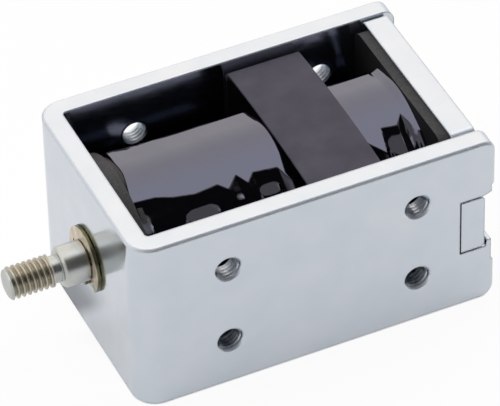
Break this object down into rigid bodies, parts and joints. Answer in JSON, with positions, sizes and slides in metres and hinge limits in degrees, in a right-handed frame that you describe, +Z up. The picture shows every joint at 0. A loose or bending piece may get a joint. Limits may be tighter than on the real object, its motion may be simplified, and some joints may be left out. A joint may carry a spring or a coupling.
{
  "type": "push pull solenoid",
  "caption": "Open box-frame push-pull solenoid: taped coil in a bent steel yoke, sliding plunger and push rod with a threaded end and an E-clip.",
  "frame": {"origin": "centre of the bounding box on the plane of the frame's lower edges", "axes": "+X along the rod's axis from the threaded end towards the end plate, +Z up towards the open top that shows the strip, -Y out of the near side wall"},
  "size_m": [0.0572, 0.029, 0.024],
  "materials": {
    "zinc_plate": "bright zinc plating, drawn flat strip",
    "core_steel": "turned soft iron, zinc plated",
    "bush_bronze": "sintered bronze",
    "tube_brass": "drawn brass, smooth",
    "bobbin_plastic": "moulded nylon, fine matt grain",
    "copper_wire": "enamelled copper wire in close turns",
    "gloss_tape": "glossy black tape, slightly wrinkled",
    "matt_strip": "matt insulating strip, fine texture",
    "sleeve_plastic": "shrink sleeve",
    "plunger_steel": "turned soft iron, plated",
    "rod_steel": "turned steel rod with a rolled thread",
    "shim_brass": "punched brass",
    "clip_steel": "spring steel with a yellowish passivated finish"
  },
  "bodies": {
    "stator": {"frame": "zinc_plate", "end_plate": "zinc_plate", "fixed_core": "core_steel", "rod_bush": "bush_bronze", "guide_tube": "tube_brass", "bobbin": "bobbin_plastic", "winding": "copper_wire", "coil_tape": "gloss_tape", "cover_strip": "matt_strip", "start_splice": "sleeve_plastic", "finish_splice": "sleeve_plastic"},
    "clip": {"retaining_clip": "clip_steel"},
    "plunger_and_rod": {"plunger": "plunger_steel", "push_rod": "rod_steel", "stop_shim": "shim_brass"}
  },
  "joints": [
    {"name": "rod_slide", "type": "slide", "parent": "stator", "child": "clip", "axis": [-1, 0, 0], "range_m": [0, 0.005]},
    {"name": "rod_turn", "type": "hinge", "parent": "clip", "child": "plunger_and_rod", "pos_m": [-0.01873, 0, 0.012], "axis": [1, 0, 0], "continuous": true}
  ]
}
